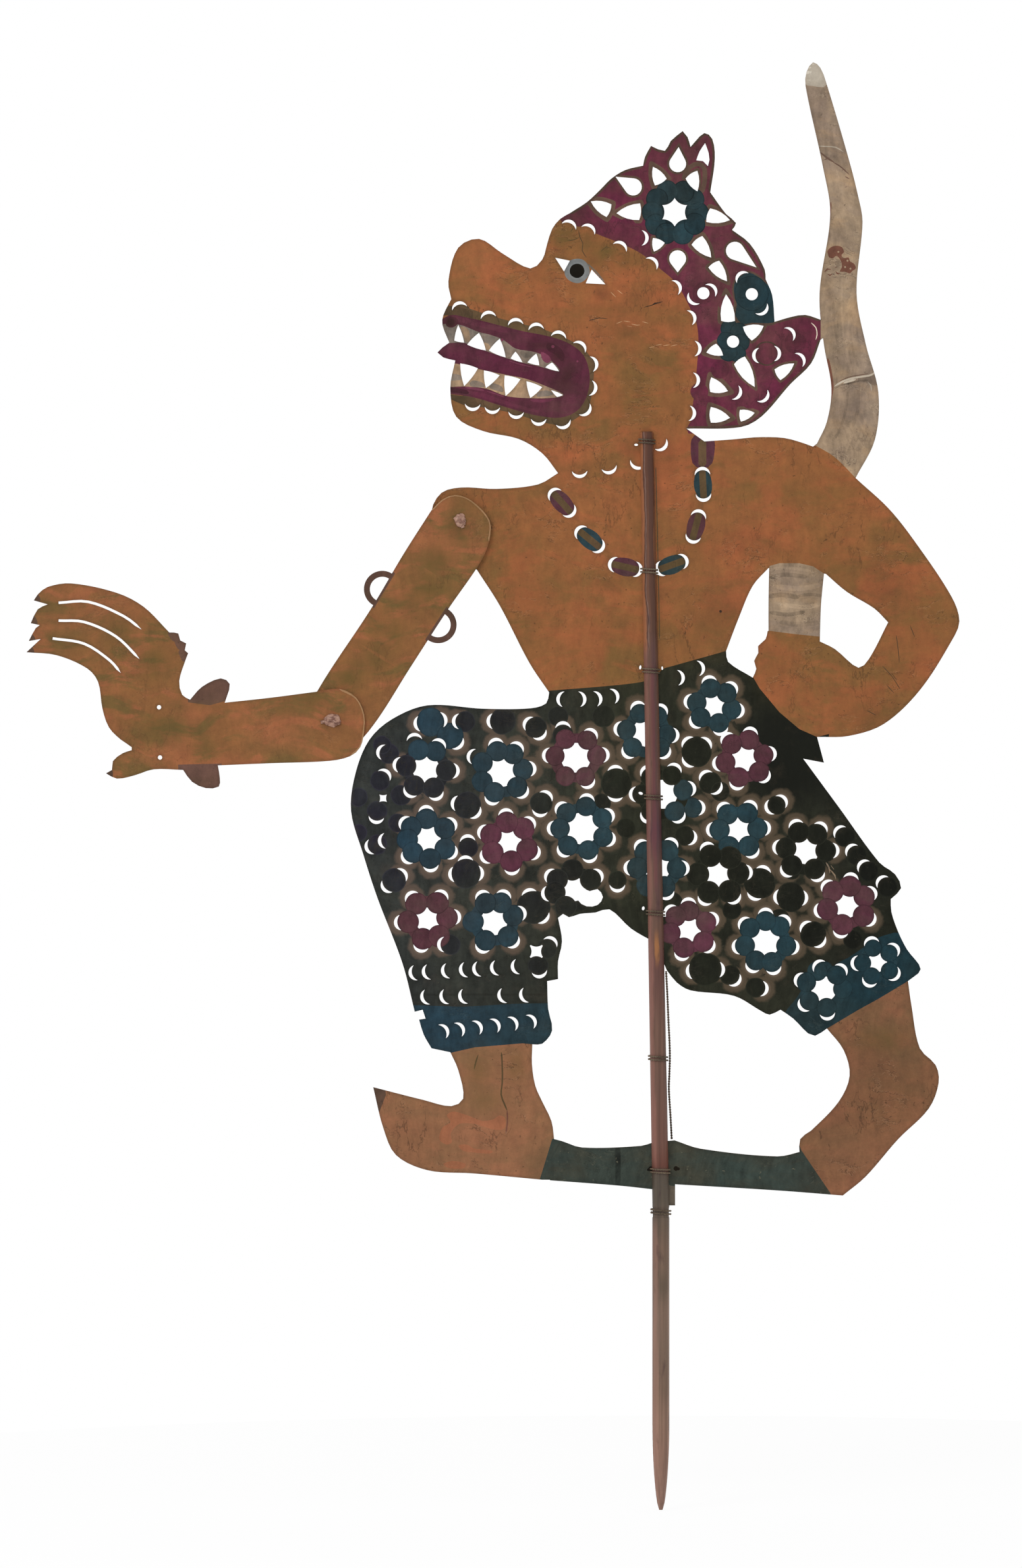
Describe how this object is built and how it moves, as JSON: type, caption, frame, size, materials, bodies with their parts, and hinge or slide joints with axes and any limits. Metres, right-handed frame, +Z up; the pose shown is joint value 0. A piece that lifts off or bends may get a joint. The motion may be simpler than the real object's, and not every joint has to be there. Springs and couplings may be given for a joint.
{
  "type": "shadow puppet",
  "caption": "Flat standing shadow puppet cut from punched, painted hide, tied with thread into a split stick with a round grip; the jointed arm swings freely on thong knots.",
  "frame": {"origin": "middle of the stick's round grip, on its axis", "axes": "+Z up along the grip, +X to the right as the audience sees the figure, +Y from the face of the hide to its reverse"},
  "size_m": [0.4717, 0.0119, 0.7323],
  "materials": {
    "hide": "painted in thin colour, worn",
    "stick": "dull paint, rubbed through in places",
    "thong": "dry rawhide",
    "thread": "twisted cotton"
  },
  "bodies": {
    "figure": {"figure_hide": "hide", "control_rod": "stick", "shoulder_knot": "thong", "neck_tie": "thread", "chest_tie": "thread", "waist_tie": "thread", "hip_tie": "thread", "seat_tie": "thread", "shin_tie": "thread", "base_tie": "thread", "grip_tie": "thread", "running_thread": "thread"},
    "upper_arm": {"upper_arm": "hide", "elbow_knot": "thong"},
    "forearm": {"forearm": "hide"}
  },
  "joints": [
    {"name": "shoulder_swing", "type": "hinge", "parent": "figure", "child": "upper_arm", "pos_m": [-0.1015, 0, 0.405], "axis": [0, -1, 0], "range_deg": [-110, 40]},
    {"name": "elbow_swing", "type": "hinge", "parent": "upper_arm", "child": "forearm", "pos_m": [-0.16598, 0, 0.30379], "axis": [0, -1, 0], "range_deg": [-85, 60]}
  ]
}
